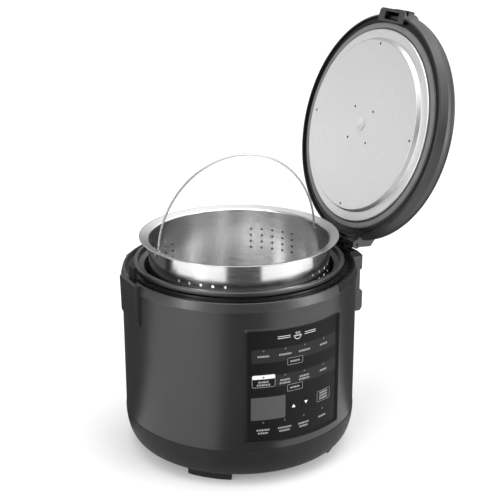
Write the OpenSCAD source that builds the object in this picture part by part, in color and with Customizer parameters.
// Round electric multicooker: hinged lid, lift-out pot, steamer basket with a wire bail.
// Units are millimetres. +Z is up and the floor is z = 0, midway between the four feet.
// The control panel faces -Y, the lid hinge is on +X and the lid latch is on -X.
// The lid is drawn closed and then swung open about the hinge pin by lid_open.

/* [Body] */
// Outside radius of the body shell
shell_r = 137; // [136:0.5:138]
// Height of the feet
foot_h = 11; // [8:1:14]
// Height of the joint between the base housing and the shell
base_top = 46.4; // [44:0.2:50]
// Height of the joint between the shell and the collar
band_z = 210.5; // [209:0.5:212]
// Height of the collar's top edge
collar_top = 221; // [220:0.5:222]

/* [Pot and basket] */
// Inside radius of the cooking pot
pot_r = 110.5; // [109:0.5:111]
// Top of the pot's rolled rim
pot_rim_z = 228.5; // [228:0.25:229]
// Underside of the pot
pot_floor_z = 60.6; // [60.4:0.2:64]
// Outside radius of the basket's rim
basket_rim_r = 116; // [115:0.25:116]
// Inside radius of the basket's wall
basket_r = 104.5; // [104:0.25:105]
// Depth of the basket
basket_depth = 105; // [80:1:120]
// How far the basket is drawn lifted out of its seat
basket_raise = 32; // [28:1:40]
// Diameter of the bail's wire
bail_wire_d = 2.5; // [2:0.1:2.6]

/* [Lid] */
// Angle at which the lid is drawn, 0 is closed
lid_open = 105; // [60:1:105]
// Distance of the hinge pin from the pot's axis
hinge_x = 138; // [137.5:0.25:138.5]
// Height of the hinge pin
hinge_z = 231; // [230.5:0.25:232]
// Outside radius of the lid
lid_r = 137.5; // [136:0.5:138]
// Rise of the lid from its sealing face to its crown
lid_rise = 40; // [36:1:46]

/* [Panel] */
// Angle of the panel's left edge from the front
panel_left = -24.5; // [-25:0.25:-24]
// Angle of the panel's right edge from the front
panel_right = 25.8; // [25:0.2:26.5]
// Height of the panel's bottom edge
panel_bottom = 56.5; // [56:0.25:58]
// Height of the panel's top edge
panel_top = 188.3; // [187:0.25:189]

/* [Hidden] */
$fn = 96;

gap = 0.3;                      // free space between pieces that move past each other
eps = 0.01;
front = -90;                    // polar angle of the front

// base
wall = 2.5;
base_r = shell_r + 0.5;
base_floor_r = 124;
floor_hole_r = 88;
cover_r = 100;
cover_screw_r = 94;
cover_screw_a = [30, 150, 270];
liner_boss_r = 106;
foot_in_r = 104;
foot_out_r = 121;
foot_span = 25;

// body
sheet = 1.2;
collar_r = 137.9;
collar_lip_r = 135.2;
collar_in_r = 133.2;
deck_seat_z = pot_rim_z - 6.3;  // where the pot's rim rests
deck_bottom = 214;
liner_r = 114;
liner_floor = 40;

// pot
pot_wall = 1.2;
pot_rim_r = 122.6;
shoulder_r = 117.2;
shoulder_z = pot_rim_z - 6;
pot_corner = 20;

// heating
plate_base = 48;
element_r = 3.5;
element_z = plate_base - element_r;

// basket, drawn raised
basket_rim_z = shoulder_z + 1.3 + basket_raise;
basket_wall = 0.8;
basket_floor_z = basket_rim_z - basket_depth;
bail_z = basket_rim_z - 9.2;
bail_r = 102.4;
hole_first_z = basket_rim_z - 28;
hole_pitch_z = 8;
hole_pitch_a = 7.65;
hole_group_a = 38.5;
hole_r = 1.5;
floor_hole_pitch = 19;
floor_hole_size = 2.2;

// lid, drawn closed
plate_z = hinge_z - 9.5;        // underside of the inner plate
face_z = plate_z + 10;          // underside of the black frame
ceiling_z = face_z + 4.6;
frame_top = ceiling_z + 2.5;
flange_z = plate_z + 6;
crown_z = face_z + lid_rise;
vent_x = 58;
lid_screw_a = [45:90:315];
lid_screw_r = 98;
frame_in_r = 124.4;             // inside radius of the black frame
plate_hole_r = 1.5;
hinge_half = 40;
ear_in = 18;
ear_out = 25;
pin_r = 2;
knuckle_r = 5;

// electrics in the base
pin_y = [-6, 0, 6];
board_z = 20;
parts_y = -30;
loom_r = 117;
loom_z = 30;
loom_wire_r = 1.8;
loom_start_a = -111;
loom_end_a = -82;
loom_start = [loom_r * cos(loom_start_a), loom_r * sin(loom_start_a), loom_z];
loom_end = [loom_r * cos(loom_end_a), loom_r * sin(loom_end_a), loom_z];

// outer fittings, whose outlines start inside the body and are cut back to it
inside_x = 124;
boss_half = 21;
housing_x = 147.2;
housing_top = 216;
column_x = 144.5;
cup_x = 148.5;
cup_z = 145.5;
cup_top = 173;
cup_wall = 1.5;
screw_x = 136.6;
screw_y = [-9, 9];
grip_r = 141;
grip_a = 145;
grip_half = 12;

// latch, drawn closed
bump_half = 25;
button_half = 14;
post_x = -136;
post_t = 3.2;
hook_x = post_x + post_t + gap;
leg_x = post_x + post_t + 2.4;
leg_t = 2.2;
spring_x = leg_x + leg_t;
spring_len = 9;

// panel
overlay_r = 135;
overlay_t = 1.2;
board_y = -121;
board_left = -53;
board_t = 1.6;
board_right = 55.6;
rail_t = 3.4;
led_angles = [-16.9, -6.3, 4, 15.8];
led_rows = [165.2, 134, 79.3];
key_r = 135.3;
key_boxes = [["key_grain", -5.5, 3.1, 144.4, 153.8], ["key_meal", -5.4, 3.2, 112.8, 122.2],
    ["key_up", -3.8, 0.2, 89.8, 99.4], ["key_down", 3.1, 7.1, 90.4, 100],
    ["key_start", 11.6, 20.9, 89, 103.3]];
display_box = [-22.8, -6, 82.5, 110];

module turned(points) {
    rotate_extrude() polygon(points);
}

module ring(r_out, r_in, z0, z1) {
    difference() {
        translate([0, 0, z0]) cylinder(r = r_out, h = z1 - z0);
        translate([0, 0, z0 - 1]) cylinder(r = r_in, h = z1 - z0 + 2);
    }
}

// A curved block between two radii, two heights and two angles counted from the front
module sector(r_in, r_out, z0, z1, a0, a1) {
    rotate([0, 0, front + a0]) rotate_extrude(angle = a1 - a0)
        translate([r_in, z0]) square([r_out - r_in, z1 - z0]);
}

// Places children on a radius that points outward at an angle from the front
module radial(a, z) {
    rotate([0, 0, front + a]) translate([0, 0, z]) rotate([0, 90, 0]) children();
}

// A coil spring along +Z, from z = 0, of round wire with flat-cut ends
module coil(r, wire_r, length, turns, sides = 6, per_turn = 14) {
    n = turns * per_turn;
    ring_points = [for (i = [0:n]) for (j = [0:sides - 1])
        let (t = 360 * i / per_turn, s = 360 * j / sides, q = r + wire_r * cos(s))
        [q * cos(t), q * sin(t), wire_r + (length - 2 * wire_r) * i / n + wire_r * sin(s)]];
    tube_faces = [for (i = [0:n - 1]) for (j = [0:sides - 1])
        let (k = (j + 1) % sides)
        [i * sides + j, (i + 1) * sides + j, (i + 1) * sides + k, i * sides + k]];
    polyhedron(points = ring_points, faces = concat(tube_faces,
        [[for (j = [0:sides - 1]) j]], [[for (j = [sides - 1:-1:0]) n * sides + j]]));
}

module swing_open() {
    translate([hinge_x, 0, hinge_z]) rotate([0, lid_open, 0])
        translate([-hinge_x, 0, -hinge_z]) children();
}

// ---------------------------------------------------------------- base

function base_curve(inset) = [for (t = [0:9:90])
    [base_floor_r + (base_r - base_floor_r - inset) * sin(t),
     base_top - (base_top - foot_h - inset) * cos(t)]];

module base_housing() color("#2b2b2c") difference() {
    union() {
        turned(concat([[floor_hole_r, foot_h]], base_curve(0),
            [[base_r - wall, base_top], [base_r - wall, base_top - 4]],
            [for (t = [81:-9:0]) [base_floor_r + (base_r - base_floor_r - wall) * sin(t),
                base_top - (base_top - foot_h - wall) * cos(t)]],
            [[floor_hole_r, foot_h + wall]]));
        ring(shell_r - sheet, shell_r - sheet - 2, base_top - 5, base_top + 4);
        for (a = cover_screw_a) rotate([0, 0, a]) translate([cover_screw_r, 0, foot_h])
            cylinder(r = 4.5, h = 14);
        for (a = [90, 210, 330]) rotate([0, 0, a]) translate([liner_boss_r, 0, foot_h])
            cylinder(r = 4.5, h = liner_floor - foot_h);
    }
    for (a = cover_screw_a) rotate([0, 0, a]) translate([cover_screw_r, 0, foot_h - 1])
        cylinder(r = 1.5, h = 16);
    translate([110, -14.5, 18.5]) cube([40, 29, 21]);
}

module bottom_cover() color("#3a3a3b") difference() {
    translate([0, 0, foot_h - 2.4]) cylinder(r = cover_r, h = 2.4);
    for (a = cover_screw_a) rotate([0, 0, a]) translate([cover_screw_r, 0, 0])
        cylinder(r = 1.8, h = foot_h + 1);
    for (a = [0:15:345], r = [42, 58]) rotate([0, 0, a]) translate([r, -1.5, 0])
        cube([12, 3, foot_h + 1]);
}

module cover_screws() color("silver") for (a = cover_screw_a) rotate([0, 0, a])
    translate([cover_screw_r, 0, foot_h - 4.2]) difference() {
        union() {
            cylinder(r = 3.2, h = 1.8);
            cylinder(r = 1.5, h = 14);
        }
        translate([-2.4, -0.4, -1]) cube([4.8, 0.8, 1.8]);
        translate([-0.4, -2.4, -1]) cube([0.8, 4.8, 1.8]);
    }

module foot(a) color("#161616") rotate([0, 0, a - foot_span / 2])
    rotate_extrude(angle = foot_span)
        polygon([[foot_in_r + 1.5, 0], [foot_out_r - 1.5, 0], [foot_out_r, 1.5],
            [foot_out_r, foot_h], [foot_in_r, foot_h], [foot_in_r, 1.5]]);

// ---------------------------------------------------------------- shell, collar, deck

module body_shell() color("#4b4b4d") difference() {
    ring(shell_r, shell_r - sheet, base_top, band_z);
    sector(shell_r - 5, shell_r + 5, panel_bottom - 1.9, panel_top + 3.3,
        panel_left - 1.5, panel_right + 1.4);
}

module collar_ring() color("#58585a") difference() {
    turned([[shell_r - sheet - 2.2, band_z - 6], [shell_r - sheet, band_z - 6],
        [shell_r - sheet, band_z], [collar_r, band_z], [collar_r, band_z + 1.6],
        [collar_lip_r + 0.5, collar_top - 0.6], [collar_lip_r, collar_top],
        [collar_in_r, collar_top], [collar_in_r, band_z]]);
    post_slot();
}

module deck_ring() color("#0d0d0e") difference() {
    turned([[liner_r - 0.8, deck_bottom], [liner_r - 0.8, deck_bottom + 3.5],
        [pot_rim_r - 3.7, deck_bottom + 3.5], [pot_rim_r - 3.1, deck_seat_z],
        [123.6, deck_seat_z], [124.4, deck_seat_z - 2],
        [127.2, deck_seat_z - 2], [127.9, deck_seat_z - 4], [130.6, deck_seat_z - 4],
        [131.2, deck_seat_z - 2.4], [collar_in_r, deck_seat_z - 2.4],
        [collar_in_r, deck_bottom]]);
    post_slot();
}

module liner_can() color("#a9abad") difference() {
    turned([[30, liner_floor], [liner_r + 0.8, liner_floor], [liner_r + 0.8, deck_bottom - 0.8],
        [131, deck_bottom - 0.8], [131, deck_bottom], [liner_r, deck_bottom],
        [liner_r, liner_floor + 0.8], [30, liner_floor + 0.8]]);
    for (a = [65, 185, 305]) rotate([0, 0, a]) translate([96, 0, liner_floor - 1])
        cylinder(r = 3, h = 3);
}

// ---------------------------------------------------------------- heating

module heating_plate() color("#b9bbbd") difference() {
    turned([[0, plate_base], [80, plate_base], [84, 51], [86, 58.6], [84.5, pot_floor_z - gap],
        [0, pot_floor_z - gap]]);
    translate([0, 0, 47]) cylinder(r = 18, h = 20);
}

module heater_element() color("#8d8f92") union() {
    rotate([0, 0, 20]) rotate_extrude(angle = 320) translate([60, element_z]) circle(r = element_r);
    for (a = [23, 337]) rotate([0, 0, a]) translate([61, 0, element_z])
        rotate([0, 90, 0]) cylinder(r = 1.6, h = 14);
}

module heater_posts() color("#d8d4c8") for (a = [60, 180, 300]) rotate([0, 0, a])
    translate([74, 0, liner_floor + 0.8]) cylinder(r = 5, h = plate_base - liner_floor - 0.8);

module thermal_fuse() color("#e6e2da") union() {
    translate([68, -18, 44]) rotate([0, 90, 90]) cylinder(r = 2, h = 36);
    translate([66, -9, liner_floor + 0.8]) cube([4, 18, 2.4]);
}

module sensor_bracket() color("#a0a2a4") union() {
    ring(36, 8, liner_floor - 1.6, liner_floor);
    ring(8, 6.4, 26, liner_floor);
}

module sensor_plunger() color("#c9cbcd") union() {
    translate([0, 0, pot_floor_z - gap - 7]) cylinder(r = 16.5, h = 6.4);
    translate([0, 0, pot_floor_z - gap - 1]) cylinder(r = 15.4, h = 1);
    translate([0, 0, 24]) cylinder(r = 6.1, h = 30);
}

module sensor_spring() color("#d0d2d4") translate([0, 0, liner_floor])
    coil(10, 0.8, pot_floor_z - gap - 7 - liner_floor, 5);

// ---------------------------------------------------------------- electrics

module mains_inlet() color("#141414") difference() {
    union() {
        translate([112, -14.4, 18.6]) cube([23.4, 28.8, 20.8]);
        translate([118, -22, 18.6]) cube([3, 44, 20.8]);
    }
    translate([116, -11.5, 21.5]) cube([30, 23, 15]);
    for (y = pin_y) translate([108, y - 1, 27]) cube([20, 2, 4]);
}

module inlet_pins() color("#c8b26a") for (y = [-6, 0, 6])
    translate([106, y - 1, 27]) cube([24, 2, 4]);

module power_board() color("#2f5d3a") translate([-86, -36, board_z]) cube([62, 72, board_t]);

module board_parts() union() {
    color("#3a3f45") translate([-82, parts_y, board_z + board_t]) cube([26, 24, 15]);
    color("#20406a") translate([-50, parts_y, board_z + board_t]) cube([18, 15, 14]);
    color("#232323") translate([-68, 18, board_z + board_t]) cylinder(r = 8, h = 14);
    color("#5b5b5b") translate([-46, 4, board_z + board_t]) cube([16, 24, 4]);
    color("#c9a55a") for (x = [-77, -33], y = [-33, 33]) translate([x, y, foot_h])
        cylinder(r = 2.6, h = 9);
}

// Cable from the power board, round inside the base and up to a plug on the control board
module panel_loom() color("#202020") union() {
    rotate([0, 0, loom_start_a]) rotate_extrude(angle = loom_end_a - loom_start_a)
        translate([loom_r, loom_z]) circle(r = loom_wire_r);
    translate(loom_end) cylinder(r = loom_wire_r, h = 40);
    translate(loom_start) rotate([-90, 0, 0])
        cylinder(r = loom_wire_r, h = parts_y - loom_start[1]);
    for (p = [loom_start, loom_end]) translate(p) cube(5, center = true);
    translate([loom_end[0] - 4, board_y + board_t, 66]) cube([8, 4.4, 8]);
}

// ---------------------------------------------------------------- control panel

module panel_frame() color("#3b3b3d") difference() {
    union() {
        sector(132.5, shell_r + 0.3, panel_bottom - 1.9, panel_top + 3.3,
            panel_left - 1.5, panel_right + 1.4);
        for (x = [board_left - rail_t, board_right]) intersection() {
            translate([x, board_y - 4, 60]) cube([rail_t, 6, 124]);
            cylinder(r = 133.5, h = 200);
        }
    }
    sector(overlay_r - overlay_t, 140, panel_bottom, panel_top, panel_left, panel_right);
    sector(130, 140, panel_bottom + 1.5, panel_top - 1.5, panel_left + 1, panel_right - 1);
    rotate([0, 0, front + panel_left - 0.6]) rotate_extrude(angle = panel_right - panel_left + 1.2)
        polygon([[overlay_r, panel_bottom], [138, panel_bottom - 1.1], [140, panel_bottom - 1.1],
            [140, panel_top + 2.8], [138, panel_top + 2.8], [overlay_r, panel_top]]);
}

module panel_overlay() color("#17171a") difference() {
    sector(overlay_r - overlay_t, overlay_r, panel_bottom, panel_top, panel_left, panel_right);
    for (k = key_boxes) sector(130, 140, k[3] - gap, k[4] + gap, k[1] - 0.13, k[2] + 0.13);
    sector(130, 140, display_box[2], display_box[3], display_box[0], display_box[1]);
    for (a = led_angles, z = led_rows) radial(a, z) translate([0, 0, 120])
        cylinder(r = 1.1, h = 20);
}

module display_window() color("#55585a") sector(overlay_r - 1, overlay_r + 0.05,
    display_box[2] + eps, display_box[3] - eps, display_box[0] + eps, display_box[1] - eps);

module display_module() color("#0f1f2a") translate([-50, board_y - 2.4, 84.5])
    cube([35, 2.4, 23.5]);

module control_board() color("#2f5d3a") translate([board_left, board_y, 62])
    cube([board_right - board_left, board_t, 120]);

module key(k) color("#222226") union() {
    sector(overlay_r - overlay_t - 0.6, key_r, k[3], k[4], k[1], k[2]);
    sector(overlay_r - overlay_t - 1.4, overlay_r - overlay_t - 0.4,
        k[3] - 0.9, k[4] + 0.9, k[1] - 0.4, k[2] + 0.4);
}

module key_switches() color("#8a8a8a") difference() {
    for (k = key_boxes) radial((k[1] + k[2]) / 2, (k[3] + k[4]) / 2) translate([0, 0, 120])
        cylinder(r = 2.5, h = 11.5);
    translate([-60, board_y, 50]) cube([120, 10, 140]);
}

module light_pipes() color("#d8d8d0") difference() {
    for (a = led_angles, z = led_rows) radial(a, z) translate([0, 0, 120])
        cylinder(r = 1, h = overlay_r - 120);
    translate([-60, board_y, 50]) cube([120, 10, 140]);
}

// ---------------------------------------------------------------- outer fittings

// What the shell and the collar fill, cut from the pieces that sit against them
module body_core() {
    turned([[0, 100], [shell_r + eps, 100], [shell_r + eps, band_z - eps],
        [collar_r + eps, band_z - eps], [collar_r + eps, band_z + 1.6],
        [collar_lip_r + 0.5 + eps, collar_top - 0.6], [collar_lip_r + eps, collar_top + eps],
        [0, collar_top + eps]], $fn = 360);
}

// A prism across the body, from an outline in X and Z
module across(half, outline) {
    translate([0, half, 0]) rotate([90, 0, 0]) linear_extrude(height = 2 * half) polygon(outline);
}

module post_slot() {
    translate([post_x - eps, -7.6, band_z + 5]) cube([post_t + 2.8, 15.2, 20]);
}

module latch_boss() color("#4b4b4d") difference() {
    across(boss_half, [[-130, 172], [-135.8, 172], [-141, 181], [-141.8, 221.3], [-140.8, 223],
        [-138.6, 223.4], [-136.4, collar_top + 0.4], [-130, collar_top + 0.4]]);
    body_core();
    cylinder(r = collar_lip_r + 0.8, h = 300, $fn = 360);
    post_slot();
}

module strike_post() color("#2a2a2b") across(7.5, [[post_x, band_z + 5.2],
    [post_x + post_t, band_z + 5.2], [post_x + post_t, ceiling_z - 0.4],
    [post_x + post_t + 1.8, ceiling_z - 0.4], [post_x + post_t + 1.8, ceiling_z + 0.2],
    [post_x + post_t - 0.4, ceiling_z + 2.2], [post_x + 1, ceiling_z + 2.2],
    [post_x, ceiling_z + 1.2]]);

// The bulge of the body behind the hinge, which also holds the condensation cup
module hinge_housing() color("#4b4b4d") difference() {
    across(hinge_half, [[inside_x, cup_top + gap], [column_x, cup_top + gap], [column_x, 198],
        [housing_x, 200], [housing_x, housing_top], [inside_x, housing_top]]);
    body_core();
}

// Base plate, two ears for the pin and a low wall between them
module hinge_bracket() color("#111112") difference() {
    union() {
        difference() {
            across(hinge_half, [[inside_x, housing_top], [housing_x, housing_top],
                [housing_x, housing_top + 0.6], [139.6, collar_top + 2.4],
                [129, collar_top + 2.4], [129, collar_top], [inside_x, collar_top]]);
            body_core();
        }
        across(ear_out, [[130.5, collar_top + 1], [132.5, collar_top + 1], [132.5, hinge_z - 0.5],
            [130.5, hinge_z - 0.5]]);
        for (side = [-1, 1]) translate([0, side * (ear_in + ear_out) / 2, 0])
            across((ear_out - ear_in) / 2, [[hinge_x - knuckle_r, hinge_z],
                [hinge_x + knuckle_r, hinge_z], [hinge_x + 3.5, collar_top + 1],
                [hinge_x - 7, collar_top + 1]]);
        for (side = [-1, 1]) translate([hinge_x, side * ear_in, hinge_z])
            rotate([-90 * side, 0, 0]) cylinder(r = knuckle_r, h = ear_out - ear_in);
    }
    translate([hinge_x, 60, hinge_z]) rotate([90, 0, 0]) cylinder(r = pin_r, h = 120);
    for (y = screw_y) translate([screw_x, y, collar_top]) cylinder(r = 1.5, h = 6);
}

module hinge_screws() color("silver") for (y = screw_y) translate([screw_x, y, 0]) {
    translate([0, 0, collar_top]) cylinder(r = 1.5, h = 2.4);
    translate([0, 0, collar_top + 2.4]) cylinder(r = 2.6, h = 1.4);
}

module hinge_pin() color("silver") translate([hinge_x, hinge_half - 1, hinge_z])
    rotate([90, 0, 0]) cylinder(r = pin_r, h = 2 * hinge_half - 2);

module lid_spring() color("#d0d2d4") translate([hinge_x, -15, hinge_z]) rotate([-90, 0, 0])
    coil(2.9, 0.7, 30, 7);

// A finger ledge round part of the collar
module side_grip(a) color("#1b1b1c") rotate([0, 0, front + a - grip_half])
    rotate_extrude(angle = 2 * grip_half)
        polygon([[collar_r + eps, 209.5], [139.4, 209.5], [grip_r, 212], [grip_r, 216],
            [grip_r - 1, 217], [collar_r + eps, 217]]);

module condensation_cup() color("#4b4b4d") difference() {
    across(hinge_half, [[126, cup_z], [cup_x - 3, cup_z], [cup_x, cup_z + 4],
        [cup_x, cup_top - 3], [cup_x - 2.5, cup_top], [126, cup_top]]);
    cylinder(r = shell_r + gap, h = 300, $fn = 360);
    difference() {
        across(hinge_half - cup_wall, [[126, cup_z + cup_wall], [cup_x - cup_wall, cup_z + cup_wall],
            [cup_x - cup_wall, cup_top - 3], [cup_x - 4, cup_top + 1], [126, cup_top + 1]]);
        cylinder(r = shell_r + gap + cup_wall, h = 300, $fn = 360);
    }
}

// ---------------------------------------------------------------- pot and basket

function corner(r, z, c, n = 6) = [for (i = [0:n]) let (t = 90 * i / n)
    [r - c + c * sin(t), z + c - c * cos(t)]];

module inner_pot() color("#8f9194") turned(concat(
    [[0, pot_floor_z]], corner(pot_r + pot_wall, pot_floor_z, pot_corner + pot_wall),
    [[pot_r + pot_wall, shoulder_z - 3], [shoulder_r + 1.2, shoulder_z - 0.9],
        [shoulder_r + 1.6, shoulder_z + gap], [pot_rim_r - 0.8, shoulder_z + gap],
        [pot_rim_r, shoulder_z + 1.1], [pot_rim_r, pot_rim_z - 1.2],
        [pot_rim_r - 1.2, pot_rim_z], [shoulder_r + 1.6, pot_rim_z],
        [shoulder_r + 0.6, pot_rim_z - 1], [shoulder_r, shoulder_z + 0.6],
        [shoulder_r - 1, shoulder_z], [pot_r + 0.6, shoulder_z - 1.5],
        [pot_r, shoulder_z - 2.2]],
    [for (i = [6:-1:0]) corner(pot_r, pot_floor_z + pot_wall, pot_corner)[i]],
    [[0, pot_floor_z + pot_wall]]));

module basket() color("#b8b8b6") difference() {
    turned(concat(
        [[0, basket_floor_z]], corner(basket_r + basket_wall, basket_floor_z, 13),
        [[basket_r + basket_wall, basket_rim_z - 3.9], [basket_rim_r - 0.6, basket_rim_z - 1],
            [basket_rim_r, basket_rim_z - 0.4], [basket_rim_r - 0.5, basket_rim_z],
            [basket_r + 1, basket_rim_z - 2.4], [basket_r, basket_rim_z - 3.6]],
        [for (i = [6:-1:0]) corner(basket_r, basket_floor_z + basket_wall, 12)[i]],
        [[0, basket_floor_z + basket_wall]]));
    for (g = [0:3], c = [-2:2], k = [0:3])
        rotate([0, 0, hole_group_a + 90 * g + hole_pitch_a * c])
            translate([basket_r - 2, 0, hole_first_z - hole_pitch_z * k])
                rotate([0, 90, 0]) cylinder(r = hole_r, h = 6, $fn = 24);
    for (ring_n = [1:4], i = [0:6 * ring_n - 1])
        rotate([0, 0, 60 * i / ring_n]) translate([floor_hole_pitch * ring_n, 0, basket_floor_z - 1])
            cylinder(r = floor_hole_size, h = 4, $fn = 24);
    for (side = [-1, 1]) translate([side * (basket_r - 2), 0, bail_z])
        rotate([0, 90 * side, 0]) cylinder(r = bail_wire_d / 2 + 0.1, h = 6);
}

module basket_bail() color("#d6d6d4") translate([0, 0, bail_z]) {
    rotate([90, 0, 0]) rotate_extrude(angle = 180) translate([bail_r, 0])
        circle(r = bail_wire_d / 2);
    for (side = [-1, 1]) translate([side * bail_r, 0, 0]) {
        sphere(r = bail_wire_d / 2);
        rotate([0, 90 * side, 0]) cylinder(r = bail_wire_d / 2, h = 4.6);
        translate([side * 4, 0, 0]) rotate([0, 90 * side, 0])
            cylinder(r = bail_wire_d / 2 + 0.9, h = 1.4);
    }
}

// ---------------------------------------------------------------- lid, drawn closed

// The rounded shoulder and the crown of the lid, from its edge to its axis
function lid_curve(inset) = concat(
    [[lid_r - 5.8 - inset, face_z + 1.5]],
    [for (t = [0:15:75]) [lid_r - 3 - inset + 3 * sin(t) * cos(t) + 3 * sin(t) * (1 - cos(t)),
        face_z + 4 + 7 * sin(t)]],
    [for (t = [0:12:84]) [lid_r - 16 + (16 - inset) * cos(t),
        face_z + 13 + (16 - inset) * sin(t)]],
    [for (i = [4:-1:0]) let (r = 27 * i)
        [r, crown_z - inset - (lid_rise - 29 + 1) * r * r / (122 * 122)]]);

module lid_solid(inset) {
    turned(concat([[0, face_z + 1.5]], lid_curve(inset)));
}

module lid_shell() color("#4b4b4d") swing_open() difference() {
    union() {
        lid_solid(0);
        translate([0, bump_half, 0]) rotate([90, 0, 0]) linear_extrude(height = 2 * bump_half)
            polygon([[-120, face_z + 1.5], [-139.6, face_z + 1.5], [-140.2, face_z + 4],
                [-140.2, face_z + 18], [-137, face_z + 22], [-120, face_z + 25]]);
        translate([vent_x, 0, crown_z - 8]) cylinder(r = 20, h = 8.2);
    }
    difference() {
        translate([0, 0, -2.2]) lid_solid(0);
        ring(200, lid_r - 2.2, face_z - 10, crown_z);
        for (a = lid_screw_a) rotate([0, 0, a]) translate([lid_screw_r, 0, 0]) cylinder(r = 4, h = 300);
    }
    lower_gap();
    for (a = lid_screw_a) rotate([0, 0, a]) translate([lid_screw_r, 0, 0])
        cylinder(r = 1.4, h = frame_top + 9);
    translate([-137.8, -15.4, face_z]) cube([20, 30.8, 20.2]);
    translate([-145, -button_half - gap, face_z + 8]) cube([20, 2 * button_half + 2 * gap, 9.6]);
    translate([vent_x, 0, 0]) cylinder(r = 14, h = 300);
}

// The frame fills the lid's mouth up to frame_top
module lower_gap() {
    translate([0, 0, face_z - 5]) cylinder(r = lid_r - 5.8, h = frame_top - face_z + 5);
    translate([-139.6 + 1.5, -bump_half + 1.5, face_z - 5])
        cube([14, 2 * bump_half - 3, frame_top - face_z + 5]);
}

module lid_frame() color("#101011") swing_open() difference() {
    union() {
        intersection() {
            union() {
                turned([[0, ceiling_z], [frame_in_r, ceiling_z], [frame_in_r, face_z], [131, face_z],
                    [lid_r - 5.8, face_z + 1.5], [lid_r - 5.8, frame_top], [0, frame_top]]);
                translate([-139.2, -bump_half + 0.4, face_z]) cube([14, 2 * bump_half - 0.8, 1.5]);
                translate([-138.1, -bump_half + 1.5, face_z + 1]) cube([13, 2 * bump_half - 3,
                    frame_top - face_z - 1]);
            }
            union() {
                ring(200, frame_in_r, 0, 400);
                cylinder(r = 130, h = 400);
            }
        }
        translate([0, 0, flange_z]) cylinder(r = 3, h = ceiling_z - flange_z + 1);
        translate([spring_x + spring_len, -7, frame_top - 1]) cube([2, 14, 9]);
    }
    translate([-136.4, -14, face_z - 1]) cube([10.9, 28, 20]);
    translate([vent_x, 0, 0]) cylinder(r = 8, h = 300);
    for (a = lid_screw_a) rotate([0, 0, a]) translate([lid_screw_r, 0, 0])
        cylinder(r = 1.8, h = 300);
}

module lid_gasket() color("#8c8e90") swing_open() turned([[117.4, face_z - 2.2],
    [121.4, pot_rim_z + gap], [123.6, pot_rim_z + 1], [frame_in_r, face_z + 0.6],
    [frame_in_r, ceiling_z], [116.9, ceiling_z], [116.9, face_z - 1.2]]);

// Block over the hinge, with two knuckles that turn on the pin, in the open lid's place
module lid_hinge() color("#4b4b4d") difference() {
    union() {
        translate([hinge_x, 0, hinge_z]) across(hinge_half, [[-5, -3], [20, -5], [28, 5], [28, 12],
            [4, 12], [2, 6.6], [-5, 4]]);
        translate([hinge_x, hinge_half, hinge_z]) rotate([90, 0, 0])
            cylinder(r = knuckle_r, h = 2 * hinge_half);
    }
    translate([hinge_x - 20, -ear_out - 0.6, hinge_z - 20]) cube([25.8, 2 * ear_out + 1.2, 40]);
    translate([hinge_x, 60, hinge_z]) rotate([90, 0, 0]) cylinder(r = pin_r + 0.06, h = 120);
    swing_open() {
        lid_solid(0);
        translate([0, 0, face_z]) cylinder(r1 = 131, r2 = lid_r - 5.8, h = 1.5 + eps);
    }
}

module lid_screws() color("silver") swing_open() for (a = lid_screw_a) rotate([0, 0, a])
    translate([lid_screw_r, 0, 0]) {
        translate([0, 0, ceiling_z - 1.6]) cylinder(r = 3, h = 1.6);
        translate([0, 0, ceiling_z - 1]) cylinder(r = 1.4, h = 11);
    }

module vent_tube() color("#77797b") swing_open() translate([vent_x, 0, 0]) difference() {
    union() {
        translate([0, 0, ceiling_z - 1.4]) cylinder(r = 8, h = 28);
        translate([0, 0, ceiling_z - 1.4]) cylinder(r = 10, h = 1.4);
        translate([0, 0, frame_top]) cylinder(r = 10, h = 1.4);
    }
    translate([0, 0, 200]) cylinder(r = 5, h = 100);
}

module vent_cap() color("#1d1d1e") swing_open() translate([vent_x, 0, 0]) difference() {
    union() {
        translate([0, 0, crown_z - 9]) cylinder(r = 13.7, h = 11);
        translate([0, 0, crown_z + 0.6]) cylinder(r = 18, h = 3);
        translate([0, 0, crown_z + 3.6]) cylinder(r1 = 18, r2 = 15, h = 2);
    }
    translate([0, 0, crown_z - 10]) cylinder(r = 10.6, h = 12);
    for (a = [0:60:300]) rotate([0, 0, a]) translate([8, 0, 200]) cylinder(r = 1.6, h = 100);
}

// ---------------------------------------------------------------- latch, drawn closed

module release_button() color("#2c2c2e") swing_open()
    translate([-141.4, -button_half, face_z + 8.3]) cube([4.4, 2 * button_half, 9]);

module latch_slider() color("#6d6f71") swing_open() union() {
    translate([-137, -12, face_z + 8.6]) cube([spring_x + 137, 24, 2.4]);
    translate([leg_x, -12, face_z + 1.3]) cube([leg_t, 24, 8.4]);
    translate([leg_x, -5, face_z + 9]) cube([leg_t, 10, 5]);
    translate([hook_x, -12, face_z + 1.3]) cube([2.3, 24, 2.5]);
}

module latch_spring() color("#d0d2d4") swing_open()
    translate([spring_x, 0, face_z + 10.8]) rotate([0, 90, 0]) coil(2.6, 0.5, spring_len, 5);

// ---------------------------------------------------------------- inner plate, drawn closed

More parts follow.
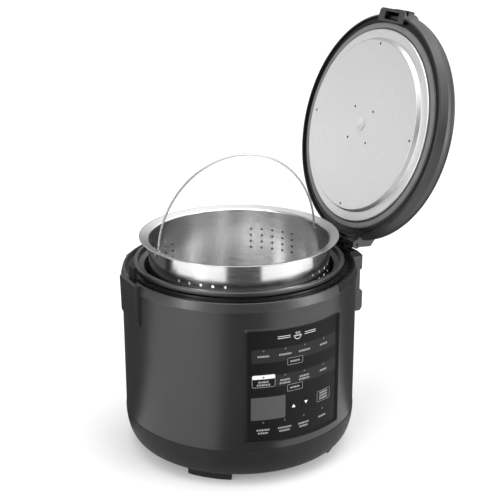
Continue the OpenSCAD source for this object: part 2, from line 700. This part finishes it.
module inner_plate() color("#cfd0d0") swing_open() difference() {
    turned([[0, plate_z], [101.6, plate_z], [102.6, plate_z + 0.5], [104.6, flange_z - 0.5],
        [105.4, flange_z], [115, flange_z], [115.9, flange_z + 0.8], [116.3, flange_z + 6],
        [115.3, flange_z + 6], [115, flange_z + 1.2], [104.8, flange_z + 1.2],
        [103.6, flange_z + 0.6], [101.8, plate_z + 1.6], [101.2, plate_z + 1.2],
        [0, plate_z + 1.2]]);
    for (a = [0:90:270]) rotate([0, 0, a]) translate([98, 0, 200]) cylinder(r = plate_hole_r, h = 60);
    for (a = [45:90:315]) rotate([0, 0, a]) translate([26.7, 0, 200]) cylinder(r = plate_hole_r, h = 60);
    cylinder(r = 5, h = 300);
}

module plate_knob() color("#9fa1a3") swing_open() difference() {
    union() {
        translate([0, 0, plate_z - 1.4]) cylinder(r1 = 7.6, r2 = 8.4, h = 1.4);
        translate([0, 0, plate_z - 3]) cylinder(r1 = 3.4, r2 = 4.4, h = 1.7);
        translate([0, 0, plate_z - eps]) cylinder(r = 5, h = 11);
        translate([0, 0, plate_z + 1.2]) cylinder(r = 7, h = 1.4);
    }
    translate([0, 0, flange_z - gap]) cylinder(r = 3.06, h = 20);
}

// ---------------------------------------------------------------- nodes

base_housing();
bottom_cover();
cover_screws();
foot(225);  // foot_front_left
foot(315);  // foot_front_right
foot(135);  // foot_back_left
foot(45);  // foot_back_right
body_shell();
collar_ring();
deck_ring();
liner_can();
heating_plate();
heater_element();
heater_posts();
thermal_fuse();
sensor_bracket();
sensor_plunger();
sensor_spring();
mains_inlet();
inlet_pins();
power_board();
board_parts();
panel_loom();
panel_frame();
panel_overlay();
display_window();
display_module();
control_board();
key_switches();
light_pipes();
for (k = key_boxes) key(k);
latch_boss();
strike_post();
hinge_housing();
hinge_bracket();
hinge_screws();
hinge_pin();
lid_spring();
side_grip(-grip_a);  // side_grip_left
side_grip(grip_a);  // side_grip_right
condensation_cup();
inner_pot();
basket();
basket_bail();
lid_shell();
lid_frame();
lid_gasket();
lid_hinge();
lid_screws();
vent_tube();
vent_cap();
release_button();
latch_slider();
latch_spring();
inner_plate();
plate_knob();
